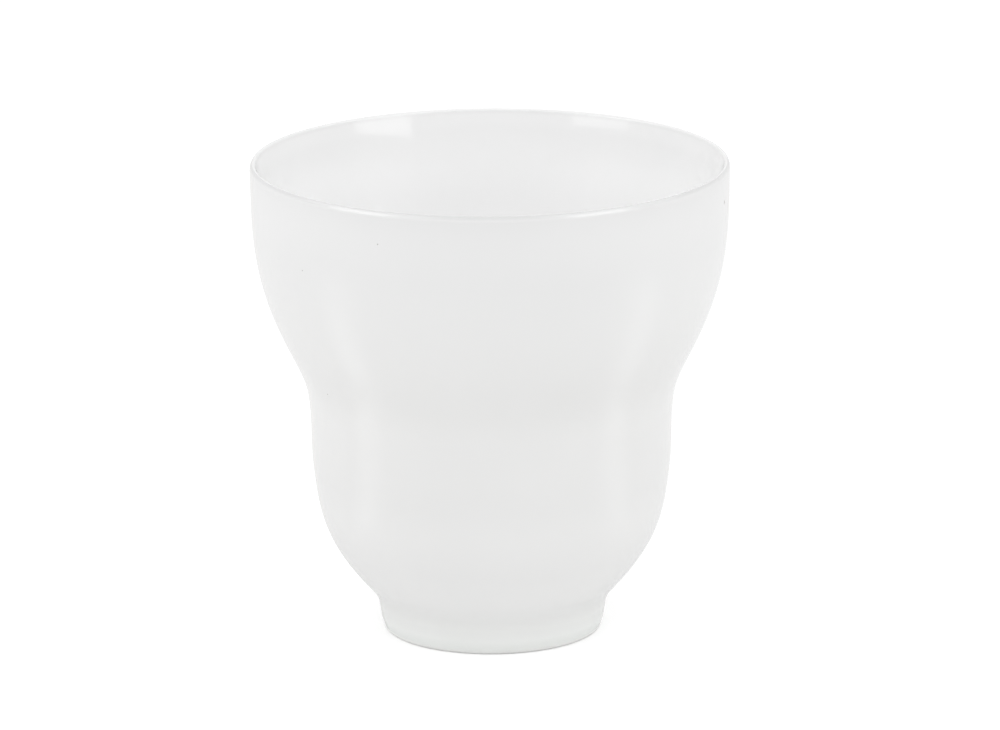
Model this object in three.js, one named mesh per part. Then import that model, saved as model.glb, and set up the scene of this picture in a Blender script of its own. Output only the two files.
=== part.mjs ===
// A handle-less porcelain teacup: a wide upper bowl, a waist, a narrower lower bowl and a low foot ring.
// Millimetres, +Z up. The origin is the centre of the foot ring's bearing face.
//
// The porcelain is formed as a bowl and a foot ring, stuck together with slip at a flat seat and fired.
// Glaze coats the outside, the inside and the recess under the bowl, and leaves the bearing edge bare.
// The sizes are those of the bare porcelain, and the glaze lies on top of them.
import * as THREE from "three";

// Foot ring
const footHeight = 4.55; // bearing face to the seat under the bowl
const footRadius = 19.85; // outside, at the seat
const footLean = 9; // degrees that the flank leans out
const footWidth = 4.4; // across the ring, at the seat
const footOuterEdge = 0.5; // rounding from the bearing face to the flank
const footInnerEdge = 0.5; // rounding from the bearing face to the recess

// Lower bowl
const footHollowRise = 4; // height of the hollow between the foot and the bowl
const footHollowReach = 2.3; // how far that hollow spreads
const bowlStartLean = 42.5; // degrees, where the bowl leaves the hollow
const lowerBowlRise = 20.8; // from there to the belly
const bellyRadius = 31.2;
const bellyLean = 6.5;
const lowerWallRise = 12.3; // the nearly upright stretch from the belly to the waist

// Upper bowl
const waistRadius = 31.85;
const waistLean = 6;
const waistRise = 9.6; // height of the hollow above the waist
const shoulderRadius = 35.3;
const shoulderLean = 27;
const upperBowlRise = 32.6; // from the shoulder to the rim
const rimRadius = 41.75;
const rimLean = 0.5;

// Wall, floor and lip
const wallThickness = 2.8;
const floorThickness = 2.9; // at the axis
const floorCorner = 3.2; // length over which the wall's end keeps its lean
const floorFlat = 11; // length over which the middle of the floor stays level
const lipThickness = 0.5;
const lipFlare = 12; // degrees that the inside leans out at the lip

// Glaze
const glazeThickness = 0.25;
const bareHeight = 0.7; // height of the unglazed edge above the bearing face

// Fineness of the solids
const radialSegments = 40;
const curveSteps = 4; // from one station to the next
const lipSteps = 3; // for each side of the lip
const edgeSteps = 2; // for each rounded edge of the foot
const keepLean = 0.38; // share of a stretch's height over which each of its ends keeps its lean

const porcelain = new THREE.MeshStandardMaterial({ color: 0xe3e1dc, roughness: 0.55, metalness: 0 });
const glaze = new THREE.MeshStandardMaterial({ color: 0xeaeae8, roughness: 0.08, metalness: 0 });

const radians = THREE.MathUtils.degToRad;

function at(radius, height) {
  return new THREE.Vector2(radius, height);
}

// The unit vector at an angle from the outward direction, turning up.
function towards(degrees) {
  return at(Math.cos(radians(degrees)), Math.sin(radians(degrees)));
}

// A station is a place that the wall passes through, with its lean from upright in degrees.
function station(place, lean) {
  return { place, lean, slope: Math.tan(radians(lean)) };
}

// The station across the wall from one on the outside.
function acrossWall({ place, lean }) {
  return station(place.clone().addScaledVector(towards(-lean), -wallThickness), lean);
}

// An outline is a list of points, each with its place and the direction in which the surface faces there.
function outlineOn(curve) {
  return Array.from({ length: curveSteps + 1 }, (_, step) => {
    const along = curve.getTangent(step / curveSteps);
    return { place: curve.getPoint(step / curveSteps), facing: at(along.y, -along.x) };
  });
}

// The outline of an outer wall from one station up to the next.
function wallBetween(lower, upper) {
  const pull = keepLean * (upper.place.y - lower.place.y);
  const lowerPull = lower.place.clone().add(at(pull * lower.slope, pull));
  const upperPull = upper.place.clone().sub(at(pull * upper.slope, pull));
  return outlineOn(new THREE.CubicBezierCurve(lower.place, lowerPull, upperPull, upper.place));
}

// The same outline as the wall of a hollow, from its upper end down.
function asHollow(outline) {
  return outline.toReversed().map(({ place, facing }) => ({ place, facing: facing.clone().negate() }));
}

// The outline of a rounded edge that turns from facing one angle to facing another.
function roundedEdge(centre, radius, fromAngle, toAngle, steps) {
  return Array.from({ length: steps + 1 }, (_, step) => {
    const facing = towards(fromAngle + ((toAngle - fromAngle) * step) / steps);
    return { place: centre.clone().addScaledVector(facing, radius), facing };
  });
}

// Joins outlines end to end, where each starts at the place where the one before it ends.
function joined(...outlines) {
  return outlines.flatMap((outline, i) => outline.slice(i === 0 ? 0 : 1));
}

// The bare surface of an outline, and the face of a coat on it.
function bareSurface(outline) {
  return outline.map(({ place }) => place);
}

function coatFace(outline) {
  return outline.map(({ place, facing }) => place.clone().addScaledVector(facing, glazeThickness));
}

// A solid of revolution about the upright axis.
function turned(name, profile, material) {
  const geometry = new THREE.LatheGeometry(profile, radialSegments).rotateX(Math.PI / 2);
  const mesh = new THREE.Mesh(geometry, material);
  mesh.name = name;
  return mesh;
}

// Stations of the outer wall, each one its rise above the last
const seat = station(at(footRadius, footHeight), footLean);
const bowlStart = station(at(footRadius + footHollowReach, footHeight + footHollowRise), bowlStartLean);
const belly = station(at(bellyRadius, bowlStart.place.y + lowerBowlRise), bellyLean);
const waist = station(at(waistRadius, belly.place.y + lowerWallRise), waistLean);
const shoulder = station(at(shoulderRadius, waist.place.y + waistRise), shoulderLean);
const rim = station(at(rimRadius, shoulder.place.y + upperBowlRise), rimLean);

// The lip is rounded from the outer wall to the inner one, and the two coats meet at its crown.
const crown = 90;
const lipRadius = lipThickness / 2;
const lipCentre = rim.place.clone().addScaledVector(towards(-rimLean), -lipRadius);
const outerLip = roundedEdge(lipCentre, lipRadius, -rimLean, crown, lipSteps);
const innerLip = roundedEdge(lipCentre, lipRadius, crown, 180 - lipFlare, lipSteps);

// Outside of the bowl, from the seat to the lip's crown
const bowlOutside = joined(
  wallBetween(seat, bowlStart),
  wallBetween(bowlStart, belly),
  wallBetween(belly, waist),
  wallBetween(waist, shoulder),
  wallBetween(shoulder, rim),
  outerLip,
);

// Inside of the bowl, from the lip's crown to the middle of the floor
const innerRim = station(innerLip.at(-1).place, lipFlare);
const innerShoulder = acrossWall(shoulder);
const innerWaist = acrossWall(waist);
const innerBelly = acrossWall(belly);
const innerStart = acrossWall(bowlStart);
const floorHeight = footHeight + floorThickness;
const floor = new THREE.CubicBezierCurve(
  at(0, floorHeight),
  at(floorFlat, floorHeight),
  innerStart.place.clone().addScaledVector(towards(90 - innerStart.lean), -floorCorner),
  innerStart.place,
);
const bowlInside = joined(
  innerLip,
  asHollow(wallBetween(innerShoulder, innerRim)),
  asHollow(wallBetween(innerWaist, innerShoulder)),
  asHollow(wallBetween(innerBelly, innerWaist)),
  asHollow(wallBetween(innerStart, innerBelly)),
  asHollow(outlineOn(floor)),
);

// Flank of the foot, which narrows from the seat down to its rounded edge
function onFlank(height) {
  return { place: at(footRadius - (footHeight - height) * seat.slope, height), facing: towards(-footLean) };
}

const outerEdgeTop = onFlank(footOuterEdge * (1 - Math.sin(radians(footLean))));
const outerEdgeCentre = outerEdgeTop.place.clone().addScaledVector(outerEdgeTop.facing, -footOuterEdge);
const glazedFlank = [onFlank(bareHeight), onFlank(footHeight)];

const recessRadius = footRadius - footWidth;
const innerEdgeCentre = at(recessRadius + footInnerEdge, footInnerEdge);

function cupBody() {
  const undersideMiddle = at(0, footHeight);
  return turned("cup_body", [undersideMiddle, ...bareSurface(joined(bowlOutside, bowlInside))], porcelain);
}

function footRing() {
  const recessTop = at(recessRadius, footHeight);
  const profile = [
    recessTop,
    at(recessRadius, bareHeight),
    ...bareSurface(roundedEdge(innerEdgeCentre, footInnerEdge, 180, 270, edgeSteps)),
    ...bareSurface(roundedEdge(outerEdgeCentre, footOuterEdge, -90, -footLean, edgeSteps)),
    ...bareSurface(glazedFlank),
    recessTop,
  ];
  return turned("foot_ring", profile, porcelain);
}

// The outer coat runs on over the seam of the seat, from the bare edge to the lip's crown.
function outerGlaze() {
  const coated = joined(glazedFlank, bowlOutside);
  const face = coatFace(coated);
  return turned("outer_glaze", [...face, ...bareSurface(coated).toReversed(), face[0]], glaze);
}

function innerGlaze() {
  return turned("inner_glaze", [...bareSurface(bowlInside).toReversed(), ...coatFace(bowlInside)], glaze);
}

// The coat in the recess covers the underside of the bowl and the inside of the ring.
function baseGlaze() {
  const faceRadius = recessRadius - glazeThickness;
  const faceHeight = footHeight - glazeThickness;
  const profile = [
    at(0, faceHeight),
    at(faceRadius, faceHeight),
    at(faceRadius, bareHeight),
    at(recessRadius, bareHeight),
    at(recessRadius, footHeight),
    at(0, footHeight),
  ];
  return turned("base_glaze", profile, glaze);
}

const teacup = new THREE.Group();
teacup.add(cupBody(), footRing(), outerGlaze(), innerGlaze(), baseGlaze());

export default teacup;
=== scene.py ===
"""Dresses a white porcelain teacup around its CAD frame, on a white table in soft studio light."""

import logging
import math
from abc import ABC, abstractmethod
from dataclasses import dataclass
from enum import Enum
from typing import Any, ClassVar, Protocol

import bpy
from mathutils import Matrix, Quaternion, Vector


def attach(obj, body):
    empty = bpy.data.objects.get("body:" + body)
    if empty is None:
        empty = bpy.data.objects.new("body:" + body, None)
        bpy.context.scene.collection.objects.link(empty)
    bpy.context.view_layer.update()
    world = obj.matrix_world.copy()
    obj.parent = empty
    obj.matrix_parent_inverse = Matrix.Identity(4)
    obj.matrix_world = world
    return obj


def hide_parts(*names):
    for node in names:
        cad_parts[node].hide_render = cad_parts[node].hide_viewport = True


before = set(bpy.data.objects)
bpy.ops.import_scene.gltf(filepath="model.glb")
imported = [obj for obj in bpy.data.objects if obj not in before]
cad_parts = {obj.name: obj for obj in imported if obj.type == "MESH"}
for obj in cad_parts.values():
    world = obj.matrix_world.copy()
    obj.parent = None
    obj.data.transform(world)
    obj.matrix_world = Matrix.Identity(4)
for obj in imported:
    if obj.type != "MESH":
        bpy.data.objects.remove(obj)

LOG = logging.getLogger("teacup")
MM = 0.001
ROOT_BODY = "root"
AXIS_TOLERANCE = 1e-6  # millimetres from the axis that still count as on it
NOISE_LOW, NOISE_HIGH = 0.3, 0.7  # most values of a noise lie between these

# Angles in an outline, in degrees from the outward direction, turning up
UP = 90.0
INWARD = 180.0
DOWN = 270.0
FULL_TURN = 360.0

Colour = tuple[float, float, float]
Socket = bpy.types.NodeSocket


class CadNode(Enum):
    """The solids of the CAD frame, by their node names."""

    CUP_BODY = "cup_body"
    FOOT_RING = "foot_ring"
    OUTER_GLAZE = "outer_glaze"
    INNER_GLAZE = "inner_glaze"
    BASE_GLAZE = "base_glaze"


class Slot(Enum):
    """The material slots of the record."""

    PORCELAIN = "porcelain"
    GLAZE = "glaze"


# Outlines


@dataclass(frozen=True)
class Station:
    """A place that the wall passes through, in millimetres, with its lean from upright in degrees."""

    radius: float
    height: float
    lean: float

    @property
    def place(self) -> Vector:
        """The station's radius and height."""
        return Vector((self.radius, self.height))

    @property
    def slope(self) -> float:
        """How far the wall moves out for each millimetre that it rises."""
        return math.tan(math.radians(self.lean))


@dataclass(frozen=True)
class OutlinePoint:
    """A point of a turned outline: its radius and height, and the direction in which the surface faces."""

    place: Vector
    facing: Vector

    def raised(self, thickness: float) -> "OutlinePoint":
        """The point on the face of a coat of this thickness."""
        return OutlinePoint(self.place + thickness * self.facing, self.facing)

    def turned_over(self) -> "OutlinePoint":
        """The same place on a surface that faces the other way."""
        return OutlinePoint(self.place, -self.facing)


Outline = list[OutlinePoint]


def towards(degrees: float) -> Vector:
    """The unit vector at an angle from the outward direction, turning up."""
    angle = math.radians(degrees)
    return Vector((math.cos(angle), math.sin(angle)))


def on_curve(start: Vector, start_pull: Vector, end_pull: Vector, end: Vector, steps: int) -> Outline:
    """Points on a cubic curve, as the outside of a wall from its lower end to its upper one.

    Args:
        start: Lower end of the curve.
        start_pull: Point that the curve sets out towards.
        end_pull: Point that the curve arrives from.
        end: Upper end of the curve.
        steps: Number of steps from end to end.

    Returns:
        The points, each facing outwards.
    """
    first, middle, last = start_pull - start, end_pull - start_pull, end - end_pull
    outline = []
    for step in range(steps + 1):
        t = step / steps
        s = 1 - t
        place = s**3 * start + 3 * s * s * t * start_pull + 3 * s * t * t * end_pull + t**3 * end
        along = s * s * first + 2 * s * t * middle + t * t * last
        along.normalize()
        outline.append(OutlinePoint(place, Vector((along.y, -along.x))))
    return outline


def rounded_edge(centre: Vector, radius: float, from_angle: float, to_angle: float, steps: int) -> Outline:
    """Points of a round edge that turns from facing one angle to facing another.

    Args:
        centre: Centre of the rounding.
        radius: Its radius.
        from_angle: Angle that it faces first, in degrees.
        to_angle: Angle that it faces last.
        steps: Number of steps between the two.

    Returns:
        The points, each facing away from the centre.
    """
    angles = [from_angle + (to_angle - from_angle) * step / steps for step in range(steps + 1)]
    return [OutlinePoint(centre + radius * towards(angle), towards(angle)) for angle in angles]


def as_hollow(outline: Outline) -> Outline:
    """The same outline as the wall of a hollow, from its upper end down."""
    return [point.turned_over() for point in reversed(outline)]


def joined(*outlines: Outline) -> Outline:
    """Outlines end to end, where each starts at the place where the one before it ends."""
    return list(outlines[0]) + [point for outline in outlines[1:] for point in outline[1:]]


def coat(outline: Outline, thickness: float) -> Outline:
    """The face of a coat of this thickness on an outline."""
    return [point.raised(thickness) for point in outline]


@dataclass(frozen=True)
class CupShape:
    """The porcelain's sizes, in millimetres and degrees, and the outlines that they give."""

    # Foot ring
    foot_height: float = 4.55  # bearing face to the seat under the bowl
    foot_radius: float = 19.85  # outside, at the seat
    foot_lean: float = 9.0
    foot_width: float = 4.4  # across the ring, at the seat
    foot_outer_edge: float = 0.5  # rounding from the bearing face to the flank
    foot_inner_edge: float = 0.5  # rounding from the bearing face to the recess

    # Lower bowl
    foot_hollow_rise: float = 4.0  # height of the hollow between the foot and the bowl
    foot_hollow_reach: float = 2.3  # how far that hollow spreads
    bowl_start_lean: float = 42.5
    lower_bowl_rise: float = 20.8  # from the hollow to the belly
    belly_radius: float = 31.2
    belly_lean: float = 6.5
    lower_wall_rise: float = 12.3  # from the belly to the waist

    # Upper bowl
    waist_radius: float = 31.85
    waist_lean: float = 6.0
    waist_rise: float = 9.6  # height of the hollow above the waist
    shoulder_radius: float = 35.3
    shoulder_lean: float = 27.0
    upper_bowl_rise: float = 32.6  # from the shoulder to the rim
    rim_radius: float = 41.75
    rim_lean: float = 0.5

    # Wall, floor and lip
    wall_thickness: float = 2.8
    floor_thickness: float = 2.9  # at the axis
    floor_corner: float = 3.2  # length over which the wall's end keeps its lean
    floor_flat: float = 11.0  # length over which the middle of the floor stays level
    lip_thickness: float = 0.5
    lip_flare: float = 12.0  # lean of the inside at the lip

    # Glaze
    glaze_thickness: float = 0.25
    bare_height: float = 0.7  # height of the unglazed edge above the bearing face

    # How the outlines curve, and how fine they are
    keep_lean: float = 0.38  # share of a stretch's height over which each of its ends keeps its lean
    curve_steps: int = 16
    lip_steps: int = 12
    edge_steps: int = 6

    @property
    def seat(self) -> Station:
        """Where the bowl sits on its foot."""
        return Station(self.foot_radius, self.foot_height, self.foot_lean)

    @property
    def bowl_start(self) -> Station:
        """Where the lower bowl leaves the hollow above the foot."""
        radius = self.foot_radius + self.foot_hollow_reach
        return Station(radius, self.foot_height + self.foot_hollow_rise, self.bowl_start_lean)

    @property
    def belly(self) -> Station:
        """Where the lower bowl turns into its nearly upright wall."""
        return Station(self.belly_radius, self.bowl_start.height + self.lower_bowl_rise, self.belly_lean)

    @property
    def waist(self) -> Station:
        """Where the lower wall ends."""
        return Station(self.waist_radius, self.belly.height + self.lower_wall_rise, self.waist_lean)

    @property
    def shoulder(self) -> Station:
        """Where the upper bowl leaves the hollow above the waist."""
        return Station(self.shoulder_radius, self.waist.height + self.waist_rise, self.shoulder_lean)

    @property
    def rim(self) -> Station:
        """Where the outer wall turns into the lip."""
        return Station(self.rim_radius, self.shoulder.height + self.upper_bowl_rise, self.rim_lean)

    @property
    def recess_radius(self) -> float:
        """Radius of the recess inside the foot ring."""
        return self.foot_radius - self.foot_width

    @property
    def lip_radius(self) -> float:
        """Rounding of the lip."""
        return self.lip_thickness / 2

    @property
    def lip_centre(self) -> Vector:
        """Centre of the lip's rounding."""
        return self.rim.place - self.lip_radius * towards(-self.rim_lean)

    @property
    def top(self) -> float:
        """Height of the glazed cup."""
        return self.lip_centre.y + self.lip_radius + self.glaze_thickness

    def across_wall(self, outer: Station) -> Station:
        """The station on the inside of the wall across from an outer one."""
        place = outer.place - self.wall_thickness * towards(-outer.lean)
        return Station(place.x, place.y, outer.lean)

    def wall_between(self, lower: Station, upper: Station) -> Outline:
        """The outline of an outer wall from one station up to the next.

        Args:
            lower: Station that it starts from.
            upper: Station that it ends at.

        Returns:
            The outline, which keeps the lean of each station near it.
        """
        pull = self.keep_lean * (upper.height - lower.height)
        lower_pull = lower.place + Vector((pull * lower.slope, pull))
        upper_pull = upper.place - Vector((pull * upper.slope, pull))
        return on_curve(lower.place, lower_pull, upper_pull, upper.place, self.curve_steps)

    def bowl_outside(self) -> Outline:
        """The outside of the bowl.

        Returns:
            The outline from the seat to the lip's crown.
        """
        stations = [self.seat, self.bowl_start, self.belly, self.waist, self.shoulder, self.rim]
        walls = [self.wall_between(*pair) for pair in zip(stations, stations[1:])]
        lip = rounded_edge(self.lip_centre, self.lip_radius, -self.rim_lean, UP, self.lip_steps)
        return joined(*walls, lip)

    def bowl_inside(self) -> Outline:
        """The inside of the bowl.

        Returns:
            The outline from the lip's crown to the middle of the floor.
        """
        lip = rounded_edge(self.lip_centre, self.lip_radius, UP, INWARD - self.lip_flare, self.lip_steps)
        inner_rim = Station(lip[-1].place.x, lip[-1].place.y, self.lip_flare)
        outer = [self.shoulder, self.waist, self.belly, self.bowl_start]
        stations = [inner_rim] + [self.across_wall(station) for station in outer]
        walls = [as_hollow(self.wall_between(low, high)) for high, low in zip(stations, stations[1:])]
        start = stations[-1].place
        floor_height = self.foot_height + self.floor_thickness
        middle = Vector((0, floor_height))
        middle_pull = Vector((self.floor_flat, floor_height))
        start_pull = start - self.floor_corner * towards(UP - self.bowl_start_lean)
        floor = as_hollow(on_curve(middle, middle_pull, start_pull, start, self.curve_steps))
        return joined(lip, *walls, floor)

    def on_flank(self, height: float) -> OutlinePoint:
        """A point on the flank of the foot."""
        radius = self.foot_radius - (self.foot_height - height) * self.seat.slope
        return OutlinePoint(Vector((radius, height)), towards(-self.foot_lean))

    def foot_section(self) -> Outline:
        """The foot ring's section.

        Returns:
            The closed outline from the top of the recess round to the seat.
        """
        recess_top = OutlinePoint(Vector((self.recess_radius, self.foot_height)), towards(INWARD))
        inner_centre = Vector((self.recess_radius + self.foot_inner_edge, self.foot_inner_edge))
        inner = rounded_edge(inner_centre, self.foot_inner_edge, INWARD, DOWN, self.edge_steps)
        outer_top = self.on_flank(self.foot_outer_edge * (1 - math.sin(math.radians(self.foot_lean))))
        outer_centre = outer_top.place - self.foot_outer_edge * outer_top.facing
        first, last = DOWN - FULL_TURN, -self.foot_lean
        outer = rounded_edge(outer_centre, self.foot_outer_edge, first, last, self.edge_steps)
        return [recess_top, *inner, *outer, self.on_flank(self.foot_height)]


# Finishes


class NodeBench:
    """Adds shader nodes to one node tree and wires them together."""

    def __init__(self, tree: bpy.types.NodeTree) -> None:
        """Takes the tree that the nodes go into, and empties it."""
        self.tree = tree
        tree.nodes.clear()

    def feed(self, socket: Socket, value: Any) -> None:
        """Gives an input socket its value.

        Args:
            socket: The input socket.
            value: A plain value, or the output socket that feeds it.
        """
        if isinstance(value, Socket):
            self.tree.links.new(value, socket)
        else:
            socket.default_value = value

    def add(self, kind: str, inputs: dict[str | int, Any] | None = None, **settings: Any) -> bpy.types.Node:
        """Adds a node.

        Args:
            kind: The node's type name without its ShaderNode start.
            inputs: Values for its input sockets, or the output sockets that feed them.
            **settings: Properties of the node itself.

        Returns:
            The new node.
        """
        node = self.tree.nodes.new("ShaderNode" + kind)
        for name, value in settings.items():
            setattr(node, name, value)
        for name, value in (inputs or {}).items():
            self.feed(node.inputs[name], value)
        return node

    def object_place(self) -> Socket:
        """The place of the shaded point on its object, in metres."""
        return self.add("TexCoord").outputs["Object"]

    def height(self) -> Socket:
        """The height of the shaded point above the table, in metres."""
        return self.add("SeparateXYZ", {0: self.object_place()}).outputs["Z"]

    def noise(self, size_mm: float, detail: float = 2.0) -> Socket:
        """A soft noise whose patches are about this many millimetres wide."""
        inputs = {"Vector": self.object_place(), "Scale": 1 / (size_mm * MM), "Detail": detail}
        return self.add("TexNoise", inputs).outputs["Fac"]

    def spread(
        self, value: Socket, low: float, high: float, start: float = NOISE_LOW, stop: float = NOISE_HIGH
    ) -> Socket:
        """Spreads a value smoothly from one range over another.

        Args:
            value: The value, such as a noise.
            low: Result at the start of the first range.
            high: Result at its stop.
            start: Start of the first range.
            stop: Its stop.

        Returns:
            The value in the second range.
        """
        inputs = {"Value": value, "From Min": start, "From Max": stop, "To Min": low, "To Max": high}
        return self.add("MapRange", inputs, interpolation_type="SMOOTHSTEP").outputs["Result"]

    def maths(self, operation: str, *values: Socket | float) -> Socket:
        """The result of a sum, product or other operation on up to three values."""
        return self.add("Math", dict(enumerate(values)), operation=operation).outputs["Value"]

    def mix(self, share: Socket, first: Socket | Colour, second: Socket | Colour) -> Socket:
        """Mixes two colours.

        Args:
            share: How far the mix goes from the first colour to the second, from 0 to 1.
            first: Colour at 0.
            second: Colour at 1.

        Returns:
            The mixed colour.
        """
        node = self.add("Mix", data_type="RGBA")
        sockets = [socket for socket in node.inputs if socket.enabled]
        for socket, value in zip(sockets, (share, first, second)):
            self.feed(socket, value if isinstance(value, Socket) else (*value, 1.0))
        return next(socket for socket in node.outputs if socket.enabled)


class Finish(Protocol):
    """Anything that can make the material of a piece."""

    def material(self) -> bpy.types.Material:
        """The finished material."""


def new_material(name: str) -> tuple[bpy.types.Material, NodeBench]:
    """Makes a material with an empty node tree.

    Args:
        name: Name of the material.

    Returns:
        The material, and the bench that fills its tree.
    """
    material = bpy.data.materials.new(name)
    material.use_nodes = True
    return material, NodeBench(material.node_tree)


@dataclass(frozen=True)
class Pit:
    """A pinhole in the glaze: where it lies, and how wide it is.

    Attributes:
        azimuth: Degrees from the front of the cup, to the right.
        height: Height above the table, in millimetres.
        radius: Distance of the surface from the axis there, in millimetres.
        width: Width of the pinhole, in millimetres.
    """

    azimuth: float
    height: float
    radius: float
    width: float

    def place(self) -> Vector:
        """The pinhole's place on the cup, in metres."""
        angle = math.radians(self.azimuth)
        return MM * Vector((self.radius * math.sin(angle), -self.radius * math.cos(angle), self.height))


@dataclass(frozen=True)
class Tone:
    """The glaze's colour at one height, in millimetres above the table."""

    height: float
    colour: Colour


@dataclass(frozen=True)
class GlossyGlaze:
    """White glossy glaze, a little uneven, which may have pinholes.

    Attributes:
        name: Name of the material.
        tones: Colours by height from the foot up; on the outside and inside these are painted light and
            shade by height, with the glaze's own tint where it pools at the foot.
        cloud_width: Width of its faint clouds, in millimetres.
        cloud: How much the clouds darken it.
        gloss: Lowest and highest roughness.
        gloss_width: Width of the patches of unlike roughness, in millimetres.
        lip: Heights over which the lip's roughness comes up, in millimetres.
        lip_gloss: Roughness of the lip, which use has dulled.
        ripple_width: Width of the ripples in the glaze, in millimetres.
        ripple_depth: Depth of the ripples, in millimetres.
        pits: The pinholes.
        pit_colour: Colour of a pinhole.
        pit_depth: Depth of a pinhole, in millimetres.
        pit_core: Share of a pinhole's width that has its full depth.
        refraction: Index of refraction.
    """

    name: str
    tones: tuple[Tone, ...]
    cloud_width: float = 30.0
    cloud: float = 0.015
    gloss: tuple[float, float] = (0.05, 0.09)
    gloss_width: float = 12.0
    lip: tuple[float, float] = (83.2, 84.0)
    lip_gloss: float = 0.2
    ripple_width: float = 9.0
    ripple_depth: float = 0.012
    pits: tuple[Pit, ...] = ()
    pit_colour: Colour = (0.42, 0.41, 0.39)
    pit_depth: float = 0.1
    pit_core: float = 0.3
    refraction: float = 1.52

    def tone(self, bench: NodeBench) -> Socket:
        """The glaze's colour at the shaded point's height, with the painted light and shade that the outside
        and inside tones hold.

        Args:
            bench: The bench of the glaze's material.

        Returns:
            The colour.
        """
        lowest, highest = self.tones[0].height, self.tones[-1].height
        above = bench.maths("SUBTRACT", bench.height(), lowest * MM)
        node = bench.add("ValToRGB", {"Fac": bench.maths("DIVIDE", above, (highest - lowest) * MM)})
        ramp = node.color_ramp
        ramp.interpolation = "CARDINAL"
        while len(ramp.elements) < len(self.tones):
            ramp.elements.new(0.5)  # a place between the ends, until the next loop moves it
        for element, tone in zip(ramp.elements, self.tones):
            element.position = (tone.height - lowest) / (highest - lowest)
            element.color = (*tone.colour, 1.0)
        return node.outputs["Color"]

    def pit_share(self, bench: NodeBench) -> Socket | None:
        """How deep the shaded point lies in a pinhole.

        Args:
            bench: The bench of the glaze's material.

        Returns:
            A share from 0 to 1 of the full depth, or None if there are no pinholes.
        """
        total = None
        for pit in self.pits:
            inputs = {0: bench.object_place(), 1: pit.place()}
            away = bench.add("VectorMath", inputs, operation="DISTANCE").outputs["Value"]
            half = pit.width * MM / 2
            share = bench.spread(away, 1.0, 0.0, start=self.pit_core * half, stop=half)
            total = share if total is None else bench.maths("MAXIMUM", total, share)
        return total

    def roughness(self, bench: NodeBench) -> Socket:
        """The roughness at the shaded point, a little uneven and higher on the lip.

        Args:
            bench: The bench of the glaze's material.

        Returns:
            The roughness.
        """
        low, high = (height * MM for height in self.lip)
        lip = bench.spread(bench.height(), 0.0, self.lip_gloss, start=low, stop=high)
        return bench.maths("MAXIMUM", bench.spread(bench.noise(self.gloss_width), *self.gloss), lip)

    def material(self) -> bpy.types.Material:
        """Makes the glaze.

        Returns:
            The glossy material.
        """
        material, bench = new_material(self.name)
        shade = bench.spread(bench.noise(self.cloud_width), 1.0 - self.cloud, 1.0)
        shaded = bench.add("VectorMath", {0: self.tone(bench), "Scale": shade}, operation="SCALE")
        colour = shaded.outputs["Vector"]
        ripples = bench.noise(self.ripple_width, detail=1.0)
        surface = bench.maths("MULTIPLY", ripples, self.ripple_depth * MM)
        pits = self.pit_share(bench)
        if pits is not None:
            colour = bench.mix(pits, colour, self.pit_colour)
            depth = bench.maths("MULTIPLY", pits, self.pit_depth * MM)
            surface = bench.maths("SUBTRACT", surface, depth)
        bump = bench.add("Bump", {"Height": surface, "Distance": 1.0})
        inputs = {
            "Base Color": colour,
            "Roughness": self.roughness(bench),
            "IOR": self.refraction,
            "Normal": bump.outputs["Normal"],
        }
        shader = bench.add("BsdfPrincipled", inputs)
        bench.add("OutputMaterial", {"Surface": shader.outputs["BSDF"]})
        return material


@dataclass(frozen=True)
class BarePorcelain:
    """Fired porcelain without glaze, dry and fine-grained.

    Attributes:
        name: Name of the material.
        colour: Colour of the clean porcelain.
        rubbed: Colour where the table has rubbed and soiled it.
        rub_height: Height above the table that the rubbing reaches, in millimetres.
        rub_width: Width of the rubbed patches, in millimetres.
        rub: Lowest and highest share of the rubbed colour.
        roughness: Lowest and highest roughness.
        roughness_width: Width of the patches of unlike roughness, in millimetres.
        grain_width: Width of the grains, in millimetres.
        grain_depth: Depth of the grain, in millimetres.
        grain_tint: Highest share of the rubbed colour in the grain.
    """

    name: str
    colour: Colour = (0.835, 0.842, 0.827)
    rubbed: Colour = (0.78, 0.777, 0.758)
    rub_height: float = 0.6
    rub_width: float = 2.5
    rub: tuple[float, float] = (0.1, 0.8)
    roughness: tuple[float, float] = (0.55, 0.75)
    roughness_width: float = 3.0
    grain_width: float = 0.4
    grain_depth: float = 0.01
    grain_tint: float = 0.25

    def material(self) -> bpy.types.Material:
        """Makes the porcelain.

        Returns:
            The dry material.
        """
        material, bench = new_material(self.name)
        near_table = bench.spread(bench.height(), 1.0, 0.0, start=0.0, stop=self.rub_height * MM)
        patches = bench.spread(bench.noise(self.rub_width, detail=4.0), *self.rub)
        rubbed = bench.maths("MULTIPLY", near_table, patches)
        grain = bench.noise(self.grain_width, detail=3.0)
        clean = bench.mix(bench.spread(grain, 0.0, self.grain_tint), self.colour, self.rubbed)
        surface = bench.maths("MULTIPLY", grain, self.grain_depth * MM)
        bump = bench.add("Bump", {"Height": surface, "Distance": 1.0})
        inputs = {
            "Base Color": bench.mix(rubbed, clean, self.rubbed),
            "Roughness": bench.spread(bench.noise(self.roughness_width), *self.roughness),
            "Normal": bump.outputs["Normal"],
        }
        shader = bench.add("BsdfPrincipled", inputs)
        bench.add("OutputMaterial", {"Surface": shader.outputs["BSDF"]})
        return material


def seen_share(bench: NodeBench, mirrored: float = 0.4) -> Socket:
    """How far a white surrounding shows its white to a ray.

    Args:
        bench: The bench of the surrounding's node tree.
        mirrored: Share of it that a mirror or a glass shows.

    Returns:
        1 for rays from the camera, that share for rays from a mirror or through glass, and 0 for the rest.
    """
    path = bench.add("LightPath").outputs
    other = bench.maths("MAXIMUM", path["Is Glossy Ray"], path["Is Transmission Ray"])
    return bench.maths("MAXIMUM", path["Is Camera Ray"], bench.maths("MULTIPLY", other, mirrored))


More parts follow.
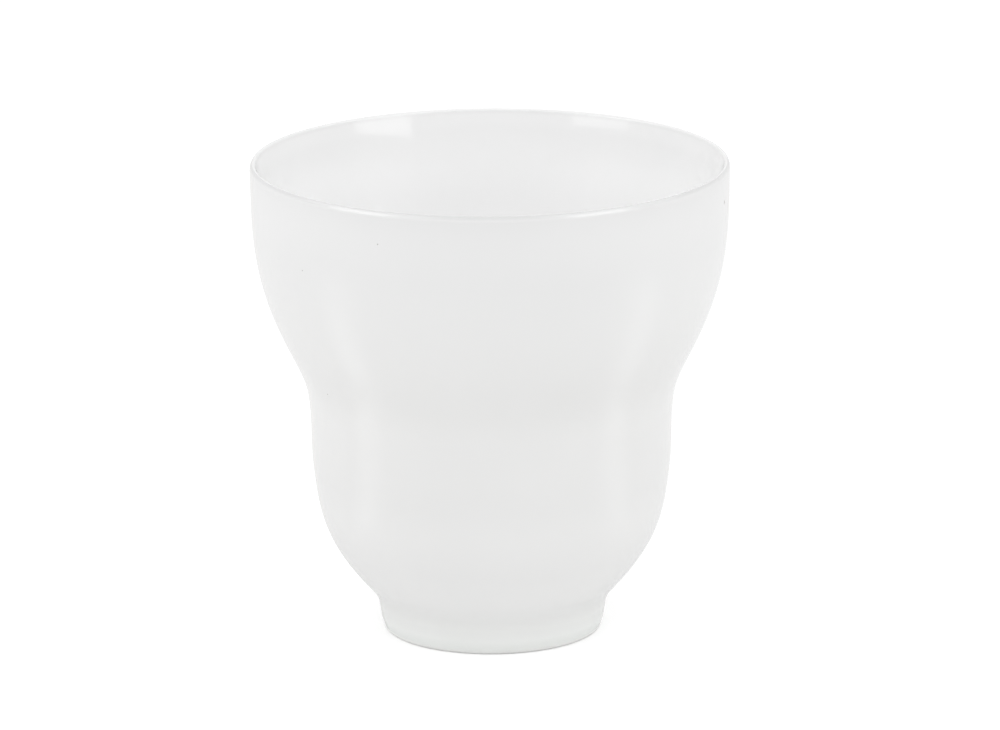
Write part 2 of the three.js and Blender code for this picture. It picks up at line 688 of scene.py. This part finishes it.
@dataclass(frozen=True)
class WhiteTable:
    """Matt white table top that shows white to the camera and keeps the cup's shadow.

    Attributes:
        colour: Colour of the table top.
        lift: Light added to what the camera sees of it, and in part to its reflections.
        streak: Light added in a streak on each side of the cup.
        streak_azimuth: Azimuth of those streaks from the camera, in degrees.
        streak_width: How far a streak reaches to each side, in degrees.
        streak_start: Distances from the axis over which a streak comes up, in millimetres.
        streak_end: Distances over which it dies away.
    """

    colour: Colour = (0.7, 0.7, 0.7)
    lift: float = 0.34
    streak: float = 1.2
    streak_azimuth: float = 76.0
    streak_width: float = 16.0
    streak_start: tuple[float, float] = (48.0, 80.0)
    streak_end: tuple[float, float] = (150.0, 260.0)

    def glow(self, bench: NodeBench) -> Socket:
        """The light added at the shaded point.

        Args:
            bench: The bench of the table's material.

        Returns:
            The strength of the light.
        """
        place = bench.add("SeparateXYZ", {0: bench.object_place()}).outputs
        ahead = bench.maths("MULTIPLY", place["Y"], -1.0)
        azimuth = bench.maths("ARCTAN2", bench.maths("ABSOLUTE", place["X"]), ahead)
        turn = bench.maths("SUBTRACT", azimuth, math.radians(self.streak_azimuth))
        away = bench.maths("ABSOLUTE", turn)
        across = bench.spread(away, 1.0, 0.0, start=0.0, stop=math.radians(self.streak_width))
        distance = bench.add("VectorMath", {0: bench.object_place()}, operation="LENGTH").outputs["Value"]
        start, full = (length * MM for length in self.streak_start)
        fade, end = (length * MM for length in self.streak_end)
        coming = bench.spread(distance, 0.0, 1.0, start=start, stop=full)
        going = bench.spread(distance, 1.0, 0.0, start=fade, stop=end)
        share = bench.maths("MULTIPLY", across, bench.maths("MULTIPLY", coming, going))
        light = bench.maths("MULTIPLY_ADD", share, self.streak, self.lift)
        return bench.maths("MULTIPLY", seen_share(bench), light)

    def material(self) -> bpy.types.Material:
        """Makes the table top's finish.

        Returns:
            The matt material.
        """
        material, bench = new_material("white_table")
        shader = bench.add("BsdfDiffuse", {"Color": (*self.colour, 1.0)})
        glow = bench.add("Emission", {"Strength": self.glow(bench)})
        total = bench.add("AddShader", {0: shader.outputs[0], 1: glow.outputs[0]})
        bench.add("OutputMaterial", {"Surface": total.outputs[0]})
        return material


# The cup's pieces


@dataclass
class TurnedPiece(ABC):
    """A piece of the cup that is turned about its upright axis.

    Attributes:
        name: Name of the piece.
        node: CAD node that it stands for.
        slot: Material slot that its finish belongs to.
        shape: Sizes and outlines of the cup.
        finish: What its surface is made of.
        segments: Number of steps round the axis.
    """

    name: ClassVar[str]
    node: ClassVar[CadNode]
    slot: ClassVar[Slot] = Slot.GLAZE

    shape: CupShape
    finish: Finish
    segments: int = 168

    @abstractmethod
    def outline(self) -> Outline:
        """The closed outline, which ends on the axis at both ends or runs round to its start."""

    def mesh(self) -> bpy.types.Mesh:
        """Turns the outline.

        Returns:
            A closed mesh with the outline's own normals.
        """
        up = Vector((0, 0, 1))
        places, normals, rings = [], [], []
        for point in self.outline():
            on_axis = point.place.x < AXIS_TOLERANCE
            count = 1 if on_axis else self.segments
            rings.append(list(range(len(places), len(places) + count)))
            for i in range(count):
                angle = math.tau * i / self.segments
                out = Vector((math.cos(angle), math.sin(angle), 0))
                places.append(MM * (point.place.x * out + point.place.y * up))
                sideways = 0.0 if on_axis else point.facing.x
                normals.append((sideways * out + point.facing.y * up).normalized())
        if len(rings[0]) > 1:
            rings.append(rings[0])
        faces = [face for first, second in zip(rings, rings[1:]) for face in self.band(first, second)]
        mesh = bpy.data.meshes.new(self.name)
        mesh.from_pydata(places, [], faces)
        mesh.shade_smooth()
        mesh.normals_split_custom_set_from_vertices(normals)
        return mesh

    def band(self, first: list[int], second: list[int]) -> list[tuple[int, ...]]:
        """The faces between two neighbouring rings of vertices.

        Args:
            first: Vertices of one ring, or the one vertex on the axis.
            second: Those of the next one.

        Returns:
            The faces, wound to face out where the outline runs up the outside.
        """
        faces = []
        for i in range(self.segments):
            j = (i + 1) % self.segments
            if len(first) == 1:
                faces.append((first[0], second[j], second[i]))
            elif len(second) == 1:
                faces.append((first[i], first[j], second[0]))
            else:
                faces.append((first[i], first[j], second[j], second[i]))
        return faces

    def build(self) -> bpy.types.Object:
        """Makes the piece, dresses it and sets it in the frame.

        Returns:
            The piece, which stands for its CAD node.
        """
        piece = bpy.data.objects.new(self.name, self.mesh())
        bpy.context.scene.collection.objects.link(piece)
        piece.data.materials.append(self.finish.material())
        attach(piece, ROOT_BODY)
        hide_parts(self.node.value)
        return piece


@dataclass
class PorcelainBowl(TurnedPiece):
    """The bowl itself, under its glaze."""

    name: ClassVar[str] = "porcelain_bowl"
    node: ClassVar[CadNode] = CadNode.CUP_BODY
    slot: ClassVar[Slot] = Slot.PORCELAIN

    def outline(self) -> Outline:
        """From the middle of the underside, up the outside and down the inside to the floor."""
        middle = OutlinePoint(Vector((0, self.shape.foot_height)), towards(DOWN))
        return [middle, *joined(self.shape.bowl_outside(), self.shape.bowl_inside())]


@dataclass
class FootRing(TurnedPiece):
    """The ring that the cup stands on, with its bare bearing edge."""

    name: ClassVar[str] = "bare_foot_ring"
    node: ClassVar[CadNode] = CadNode.FOOT_RING
    slot: ClassVar[Slot] = Slot.PORCELAIN

    def outline(self) -> Outline:
        """From the top of the recess, round the bearing edge, to the seat."""
        return self.shape.foot_section()


@dataclass
class OuterGlaze(TurnedPiece):
    """The coat on the outside, which thins out above the bare edge of the foot and eases over the lip.

    Attributes:
        thinning: Height over which it thins out, in millimetres.
        ease_radius: Rounding of the lip's outer edge, in millimetres.
        ease_turn: Degrees that this rounding turns, before the tighter one to the crown.
    """

    name: ClassVar[str] = "glaze_outside"
    node: ClassVar[CadNode] = CadNode.OUTER_GLAZE

    thinning: float = 1.8
    ease_radius: float = 1.7
    ease_turn: float = 36.0

    def thin_edge(self) -> Outline:
        """The face of the coat on the flank of the foot, as far as it is thinner than the rest.

        Returns:
            The outline from the bare edge, where the coat has no thickness, upwards.
        """
        shape = self.shape
        edge = []
        for step in range(shape.edge_steps):
            turn = math.pi / 2 * step / shape.edge_steps
            thickness = shape.glaze_thickness * math.sin(turn)
            slope = shape.glaze_thickness * math.cos(turn) * math.pi / 2 / self.thinning
            point = shape.on_flank(shape.bare_height + self.thinning * step / shape.edge_steps)
            facing = towards(-shape.foot_lean - math.degrees(math.atan(slope)))
            edge.append(OutlinePoint(point.raised(thickness).place, facing))
        return edge

    def eased_lip(self) -> Outline:
        """The face of the coat on the lip.

        Returns:
            The outline from the outer wall to the crown.
        """
        shape = self.shape
        reach = shape.lip_radius + shape.glaze_thickness
        turn = math.radians(self.ease_turn)
        tight = (reach - self.ease_radius * (1 - math.cos(turn))) / math.cos(turn)
        crown_centre = Vector((shape.lip_centre.x, shape.top - tight))
        crown = rounded_edge(crown_centre, tight, self.ease_turn, UP, shape.lip_steps)
        ease_centre = crown[0].place - self.ease_radius * crown[0].facing
        ease = rounded_edge(ease_centre, self.ease_radius, 0, self.ease_turn, shape.lip_steps)
        return joined(ease, crown)

    def outline(self) -> Outline:
        """The section of the coat.

        Returns:
            The outline up the coat's face to the lip's crown and back down along the porcelain.
        """
        shape = self.shape
        coated = [shape.on_flank(shape.bare_height + self.thinning), *shape.bowl_outside()]
        lip = self.eased_lip()
        face = coat(coated, shape.glaze_thickness)
        wall = [point for point in face if point.place.y < lip[0].place.y]
        return [*self.thin_edge(), *wall, *lip, *as_hollow(coated)]


@dataclass
class InnerGlaze(TurnedPiece):
    """The coat on the inside, from the lip's crown down over the floor."""

    name: ClassVar[str] = "glaze_inside"
    node: ClassVar[CadNode] = CadNode.INNER_GLAZE

    def outline(self) -> Outline:
        """Along the porcelain from the floor to the crown, and back down the face of the coat."""
        coated = self.shape.bowl_inside()
        return [*as_hollow(coated), *coat(coated, self.shape.glaze_thickness)]


@dataclass
class BaseGlaze(TurnedPiece):
    """The coat in the recess under the bowl, pooled in its corner.

    Attributes:
        pool_radius: Rounding of the glaze in the corner, in millimetres.
    """

    name: ClassVar[str] = "glaze_under_base"
    node: ClassVar[CadNode] = CadNode.BASE_GLAZE

    pool_radius: float = 1.2

    def outline(self) -> Outline:
        """The section of the coat.

        Returns:
            The outline from the middle of its face, round its corner and edge, and back along the porcelain.
        """
        shape = self.shape
        thick = shape.glaze_thickness
        face_radius = shape.recess_radius - thick
        face_height = shape.foot_height - thick
        pool_centre = Vector((face_radius - self.pool_radius, face_height - self.pool_radius))
        pool = as_hollow(rounded_edge(pool_centre, self.pool_radius, 0, UP, shape.edge_steps))
        edge_centre = Vector((shape.recess_radius, shape.bare_height + thick))
        edge = rounded_edge(edge_centre, thick, INWARD, DOWN, shape.edge_steps)
        return [
            OutlinePoint(Vector((0, face_height)), towards(DOWN)),
            *pool,
            *edge,
            OutlinePoint(Vector((shape.recess_radius, shape.foot_height)), towards(UP / 2)),
            OutlinePoint(Vector((0, shape.foot_height)), towards(UP)),
        ]


# The studio


@dataclass(frozen=True)
class SoftBox:
    """A soft box lamp that points at the cup.

    Attributes:
        name: Name of the lamp.
        azimuth: Degrees from the camera's side of the cup, to the right.
        elevation: Degrees above the horizon.
        size: Width and height of its face, in metres.
        radiance: Brightness of its face.
        distance: Distance from the point that it points at, in metres.
        aim_height: Height of that point, on the cup's axis, in metres.
        tilt: Degrees that its face is turned in its own plane, which lifts its left end as the cup sees it.
        gloss_only: Whether only the gloss of a surface shows it.
    """

    name: str
    azimuth: float
    elevation: float
    size: tuple[float, float]
    radiance: float
    distance: float = 0.9
    aim_height: float = 0.05
    tilt: float = 0.0
    gloss_only: bool = False

    def build(self) -> bpy.types.Object:
        """Makes the lamp and points it at the cup.

        Returns:
            The lamp.
        """
        data = bpy.data.lights.new(self.name, "AREA")
        data.shape = "RECTANGLE"
        data.size, data.size_y = self.size
        data.energy = math.pi * self.radiance * self.size[0] * self.size[1]
        lamp = bpy.data.objects.new(self.name, data)
        bpy.context.scene.collection.objects.link(lamp)
        azimuth = math.radians(self.azimuth)
        elevation = math.radians(self.elevation)
        level = Vector((math.sin(azimuth), -math.cos(azimuth), 0)) * math.cos(elevation)
        away = level + Vector((0, 0, math.sin(elevation)))
        lamp.location = Vector((0, 0, self.aim_height)) + self.distance * away
        lamp.rotation_mode = "QUATERNION"
        turn = Quaternion((0, 0, 1), math.radians(self.tilt))
        lamp.rotation_quaternion = (-away).to_track_quat("-Z", "Y") @ turn
        lamp.visible_diffuse = not self.gloss_only
        return lamp


@dataclass
class Studio:
    """The white table, the white surroundings and the lamps.

    Attributes:
        table: Finish of the table top.
        lamps: The soft boxes.
        ambient: Strength of the light from all round.
        table_radius: How far the table reaches, in metres.
        table_segments: Number of steps round its edge.
    """

    table: WhiteTable
    lamps: tuple[SoftBox, ...]
    ambient: float = 0.95
    table_radius: float = 3.0
    table_segments: int = 96

    def build_table(self) -> bpy.types.Object:
        """Makes a round table top under the cup, which isn't part of it.

        Returns:
            The table top.
        """
        angles = [math.tau * i / self.table_segments for i in range(self.table_segments)]
        rim = [(self.table_radius * math.cos(a), self.table_radius * math.sin(a), 0.0) for a in angles]
        mesh = bpy.data.meshes.new("white_table")
        mesh.from_pydata(rim, [], [tuple(range(self.table_segments))])
        table = bpy.data.objects.new("white_table", mesh)
        bpy.context.scene.collection.objects.link(table)
        mesh.materials.append(self.table.material())
        return table

    def build_surroundings(self) -> None:
        """Makes soft light from all round, which looks white."""
        world = bpy.data.worlds.new("white_surroundings")
        bpy.context.scene.world = world
        world.use_nodes = True
        bench = NodeBench(world.node_tree)
        strength = bench.spread(seen_share(bench), self.ambient, 1.0, start=0.0, stop=1.0)
        light = bench.add("Background", {"Color": (1.0, 1.0, 1.0, 1.0), "Strength": strength})
        bench.add("OutputWorld", {"Surface": light.outputs[0]})

    def build(self) -> None:
        """Makes the table, the surroundings and the lamps."""
        self.build_table()
        self.build_surroundings()
        for lamp in self.lamps:
            lamp.build()


@dataclass
class PhotoCamera:
    """The camera of the photograph.

    Attributes:
        distance: Distance from the middle of the cup, in millimetres.
        elevation: Degrees above the horizon.
        roll: Degrees that the camera is turned clockwise about its own axis.
        scale: Pixels for each millimetre at the middle of the cup.
        middle_height: Height of the middle of the cup, in millimetres.
        middle_pixel: Where the middle of the cup falls in the image.
        image_size: Width and height of the image, in pixels.
        sensor_width: Width of the sensor, in millimetres.
    """

    distance: float = 1267.5
    elevation: float = 15.06
    roll: float = 0.366
    scale: float = 5.673
    middle_height: float = 42.0
    middle_pixel: tuple[float, float] = (491.3, 394.9)
    image_size: tuple[int, int] = (1000, 730)
    sensor_width: float = 36.0

    def build(self) -> bpy.types.Object:
        """Makes the camera and gives it to the scene.

        Returns:
            The camera.
        """
        data = bpy.data.cameras.new("photo_camera")
        wide, high = self.image_size
        data.sensor_width = self.sensor_width
        data.lens = self.sensor_width * self.scale * self.distance / wide
        data.shift_x = (wide / 2 - self.middle_pixel[0]) / wide
        data.shift_y = (self.middle_pixel[1] - high / 2) / wide
        camera = bpy.data.objects.new("photo_camera", data)
        bpy.context.scene.collection.objects.link(camera)
        angle = math.radians(self.elevation)
        back = Vector((0, -math.cos(angle), math.sin(angle)))
        camera.location = MM * (Vector((0, 0, self.middle_height)) + self.distance * back)
        camera.rotation_mode = "QUATERNION"
        turn = Quaternion((0, 0, 1), -math.radians(self.roll))
        camera.rotation_quaternion = (-back).to_track_quat("-Z", "Y") @ turn
        bpy.context.scene.camera = camera
        return camera


# The cup's tones with painted light and shade, its pinholes, and the lamps


# Outside glaze: painted light and shade by height. It lightens the hollows where shade falls and darkens the
# up-facing lip and crown. The green tint at the foot is the glaze's own, where it pools.
OUTSIDE_TINT_AND_PAINTED_SHADING = (
    Tone(0.0, (0.91, 0.93, 0.91)),  # thin edge of the coat, lightened near the table: painted light, with the glaze's green tint
    Tone(2.5, (0.865, 0.877, 0.863)),  # flank of the foot
    Tone(4.7, (0.851, 0.856, 0.845)),  # seat
    Tone(8.2, (0.937, 0.939, 0.932)),  # hollow above the foot, lightened: painted light where shade falls
    Tone(16.0, (0.875, 0.875, 0.87)),  # lower bowl
    Tone(26.0, (0.812, 0.812, 0.807)),  # belly
    Tone(38.0, (0.79, 0.79, 0.785)),  # waist
    Tone(50.0, (0.854, 0.854, 0.848)),  # shoulder, lightened: painted light in the hollow above the waist where shade falls
    Tone(70.0, (0.801, 0.802, 0.8)),  # upper bowl
    Tone(83.6, (0.771, 0.771, 0.771)),  # lip, darkened where it faces up: painted shade
    Tone(84.35, (0.62, 0.62, 0.62)),  # crown, darkened: painted shade on the up-facing lip
)
# Inside glaze: painted light and shade by height, lighter deep in the cup and darker towards the lip and its
# crown
INSIDE_PAINTED_SHADING = (
    Tone(0.0, (0.885, 0.885, 0.885)),  # floor
    Tone(66.0, (0.876, 0.876, 0.876)),  # middle of the upper bowl
    Tone(74.0, (0.886, 0.886, 0.886)),  # upper bowl
    Tone(80.0, (0.828, 0.828, 0.828)),  # below the lip, darkened: painted shade
    Tone(83.4, (0.816, 0.816, 0.816)),  # lip, darkened: painted shade
    Tone(84.35, (0.75, 0.75, 0.75)),  # crown, darkened: painted shade on the up-facing lip
)
BASE_TONES = (
    Tone(0.0, (0.78, 0.785, 0.77)),  # inside of the ring
    Tone(5.0, (0.8, 0.8, 0.795)),  # underside of the bowl
)
PITS = (
    Pit(azimuth=-27.2, height=78.65, radius=41.94, width=0.3),
    Pit(azimuth=-51.0, height=71.35, radius=41.57, width=0.27),
    Pit(azimuth=76.0, height=79.05, radius=41.95, width=0.95),
    Pit(azimuth=-58.0, height=47.05, radius=33.54, width=0.4),
)
LAMPS = (
    # Broad light from both sides
    SoftBox("left_key", azimuth=-70, elevation=40, size=(1.1, 0.48), radiance=1.28),
    SoftBox("right_key", azimuth=70, elevation=40, size=(1.1, 0.48), radiance=1.22),
    # Highlights inside the cup
    SoftBox("left_strip", azimuth=-59, elevation=10.7, size=(0.5, 0.046), radiance=1.55, tilt=5),
    SoftBox("right_strip", azimuth=56, elevation=10.2, size=(0.5, 0.056), radiance=1.75, tilt=-2),
    # Glints on the lip
    SoftBox("left_glint", azimuth=-65.5, elevation=24.5, size=(0.48, 0.34), radiance=2.9, gloss_only=True),
    SoftBox("right_glint", azimuth=55, elevation=24.5, size=(0.47, 0.34), radiance=2.5, gloss_only=True),
)


def main() -> None:
    """Builds the camera, the studio and the cup's pieces in order, and logs each piece's node and face
    count.
    """
    logging.basicConfig(level=logging.INFO, format="%(name)s: %(message)s")
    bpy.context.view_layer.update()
    bpy.context.scene.view_settings.view_transform = "Standard"
    PhotoCamera().build()
    Studio(WhiteTable(), LAMPS).build()

    shape = CupShape()
    pieces: list[TurnedPiece] = [
        PorcelainBowl(shape, BarePorcelain("porcelain_under_glaze")),
        FootRing(shape, BarePorcelain("bare_porcelain")),
        OuterGlaze(shape, GlossyGlaze("glaze_outside", OUTSIDE_TINT_AND_PAINTED_SHADING, pits=PITS)),
        InnerGlaze(shape, GlossyGlaze("glaze_inside", INSIDE_PAINTED_SHADING)),
        BaseGlaze(shape, GlossyGlaze("glaze_under_base", BASE_TONES)),
    ]
    for part in pieces:
        piece = part.build()
        LOG.info("%s stands for %s, %d faces", piece.name, part.node.value, len(piece.data.polygons))


if __name__ == "__main__":
    main()
